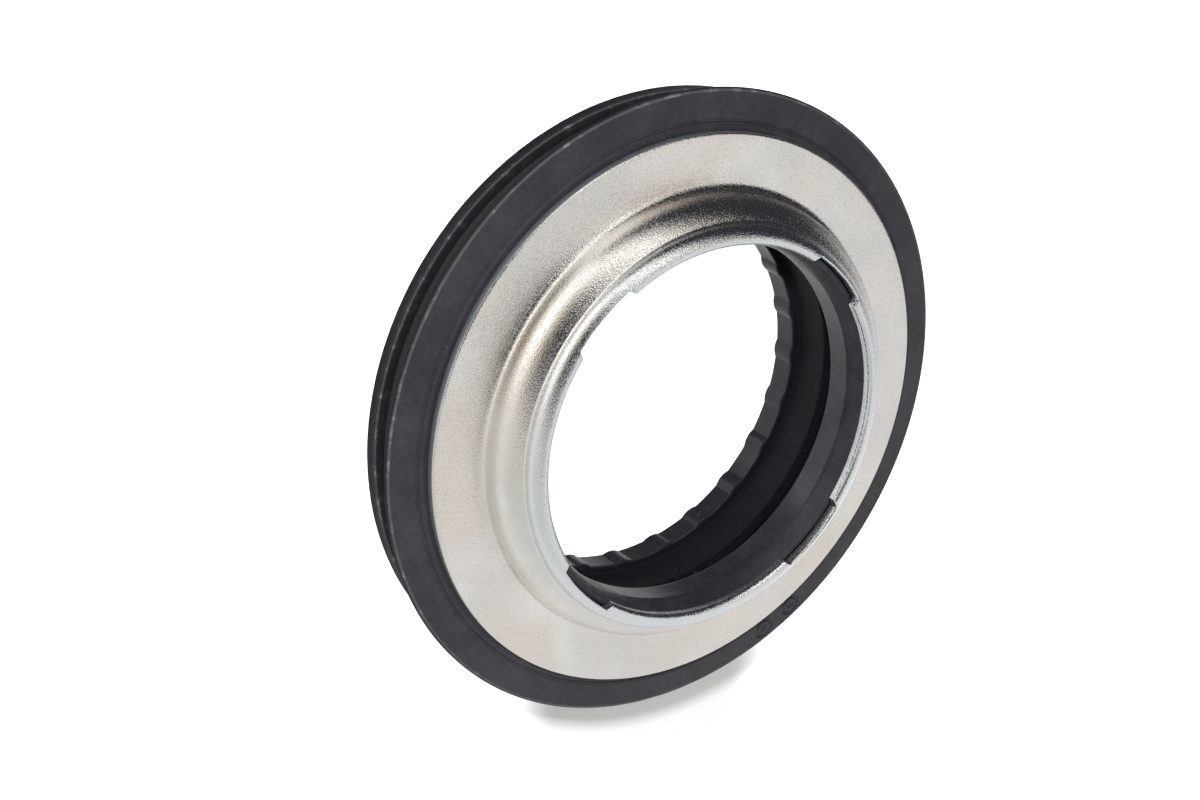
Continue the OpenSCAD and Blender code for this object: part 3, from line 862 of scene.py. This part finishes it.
def dress_bearing():
    """Hidden bearing pieces keep their solids and get their own finishes."""
    finishes = {"upper_race": race_finish(), "ball_cage": cage_finish()}
    finishes["lower_race"] = finishes["upper_race"]
    polished = ball_finish()
    for name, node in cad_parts.items():
        finish = polished if name.startswith("ball_") and name != "ball_cage" else finishes.get(name)
        if finish is not None:
            node.data.materials.clear()
            node.data.materials.append(finish)


# Stage

def floor():
    """Pale floor: a matt sheet that takes the ring's shadow, lifted to white where the camera sees it.

    The lift rises smoothly with the distance from the place of the shadow below the ring.
    """
    corners = FLOOR_HALF * np.array([(-1, -1, 0), (1, -1, 0), (1, 1, 0), (-1, 1, 0)])
    mesh = bpy.data.meshes.new("floor")
    mesh.from_pydata(corners.tolist(), [], [(0, 1, 2, 3)])
    sheet = bpy.data.objects.new("floor", mesh)
    bpy.context.scene.collection.objects.link(sheet)
    material = bpy.data.materials.new("floor_white")
    material.use_nodes = True
    tree = material.node_tree
    tree.nodes.clear()
    path = tree.nodes.new("ShaderNodeLightPath").outputs
    mirrored = math_node(tree, "MAXIMUM", path["Is Glossy Ray"], path["Is Transmission Ray"])
    seen = math_node(tree, "MAXIMUM", path["Is Camera Ray"], mirrored)
    place = tree.nodes.new("ShaderNodeTexCoord").outputs["Object"]
    away = vector_node(tree, "DISTANCE", place, (*FLOOR_SHADE_AT, 0))
    lift = range_node(tree, away, *FLOOR_SHADE_SPAN, *FLOOR_LIFT)
    matt = tree.nodes.new("ShaderNodeBsdfDiffuse")
    matt.inputs["Color"].default_value = FLOOR_COLOUR
    glow = tree.nodes.new("ShaderNodeEmission")
    tree.links.new(math_node(tree, "MULTIPLY", seen, lift), glow.inputs["Strength"])
    both = tree.nodes.new("ShaderNodeAddShader")
    tree.links.new(matt.outputs[0], both.inputs[0])
    tree.links.new(glow.outputs[0], both.inputs[1])
    out = tree.nodes.new("ShaderNodeOutputMaterial")
    tree.links.new(both.outputs[0], out.inputs["Surface"])
    mesh.materials.append(material)
    sheet.visible_glossy = False


def room():
    """World light: an even pale room with darker and brighter sectors, and white behind the ring.

    A sector's share is a smooth rise at its start times a smooth fall at its stop, and the same
    for the distances from the direction about which the sectors turn.
    """
    world = bpy.data.worlds.new("room")
    bpy.context.scene.world = world
    world.use_nodes = True
    tree = world.node_tree
    tree.nodes.clear()
    direction = tree.nodes.new("ShaderNodeTexCoord").outputs["Generated"]
    middle = seen_at(*FLANGE_MIRROR)
    up_side = unit(UP - middle * (UP @ middle))
    nearness, aside, upwards = (vector_node(tree, "DOT_PRODUCT", direction, axis)
                                for axis in (middle, np.cross(middle, up_side), up_side))
    turn = math_node(tree, "ARCTAN2", aside, upwards)
    colour = ROOM_BASE
    for start, stop, soft, begins, ends, fade, tint in ROOM_SECTORS:
        borders = [(turn, np.radians([start - soft, start + soft])),
                   (turn, np.radians([stop + soft, stop - soft])),
                   (nearness, np.cos(np.radians([begins - fade, begins + fade]))),
                   (nearness, np.cos(np.radians([min(ends + fade, 180), ends - fade])))]
        share = 1.0
        for source, span in borders:
            share = math_node(tree, "MULTIPLY", share, range_node(tree, source, *span))
        colour = mix_node(tree, share, colour, tint)
    background = tree.nodes.new("ShaderNodeBackground")
    tree.links.new(colour, background.inputs["Color"])
    backdrop = tree.nodes.new("ShaderNodeBackground")
    backdrop.inputs["Color"].default_value = (1, 1, 1, 1)
    shown = tree.nodes.new("ShaderNodeMixShader")
    tree.links.new(tree.nodes.new("ShaderNodeLightPath").outputs["Is Camera Ray"], shown.inputs["Fac"])
    tree.links.new(background.outputs[0], shown.inputs[1])
    tree.links.new(backdrop.outputs[0], shown.inputs[2])
    out = tree.nodes.new("ShaderNodeOutputWorld")
    tree.links.new(shown.outputs[0], out.inputs["Surface"])


def lamp(name, place, distance, length, width, turn, radiance, mirrored):
    """A soft rectangular lamp that faces the ring; its long side is turned in the picture's plane."""
    light = bpy.data.lights.new(name, "AREA")
    light.shape = "RECTANGLE"
    light.size = length
    light.size_y = width
    light.energy = radiance * np.pi * length * width
    back = seen_at(*place)
    turned = np.cos(np.radians(turn)) * RIGHT - np.sin(np.radians(turn)) * UP
    across = unit(turned - back * (turned @ back))
    upright = np.cross(back, across)
    centre = np.array([0, 0, RING_CENTRE_Z]) + distance * back
    holder = bpy.data.objects.new(name, light)
    holder.visible_glossy = mirrored
    bpy.context.scene.collection.objects.link(holder)
    matrix = np.eye(4)
    matrix[:3] = np.stack([across, upright, back, centre], 1)
    holder.matrix_world = Matrix(matrix.tolist())


def camera():
    """The photograph's camera: its distance and angles to the ring, and its framing."""
    data = bpy.data.cameras.new("camera")
    data.sensor_fit = "HORIZONTAL"
    data.lens = data.sensor_width * FOCAL_PX / PHOTO_W
    data.clip_start = 0.01
    offset_x = (RING_CENTRE_PX[0] - PHOTO_W / 2) / FOCAL_PX * CAMERA_DISTANCE
    offset_y = (RING_CENTRE_PX[1] - PHOTO_H / 2) / FOCAL_PX * CAMERA_DISTANCE
    place = np.array([0, 0, RING_CENTRE_Z]) - offset_x * RIGHT + offset_y * UP + CAMERA_DISTANCE * TOWARDS
    holder = bpy.data.objects.new("camera", data)
    bpy.context.scene.collection.objects.link(holder)
    matrix = np.eye(4)
    matrix[:3] = np.stack([RIGHT, UP, TOWARDS, place], 1)
    holder.matrix_world = Matrix(matrix.tolist())
    bpy.context.scene.camera = holder


camera()
room()
for settings in LAMPS:
    lamp(*settings)
floor()
seat_pressing()
lower_cap_shell()
upper_cap_shell()
outer_seal_ring()
inner_seal_ring()
dress_bearing()

bpy.context.scene.view_settings.view_transform = "Standard"
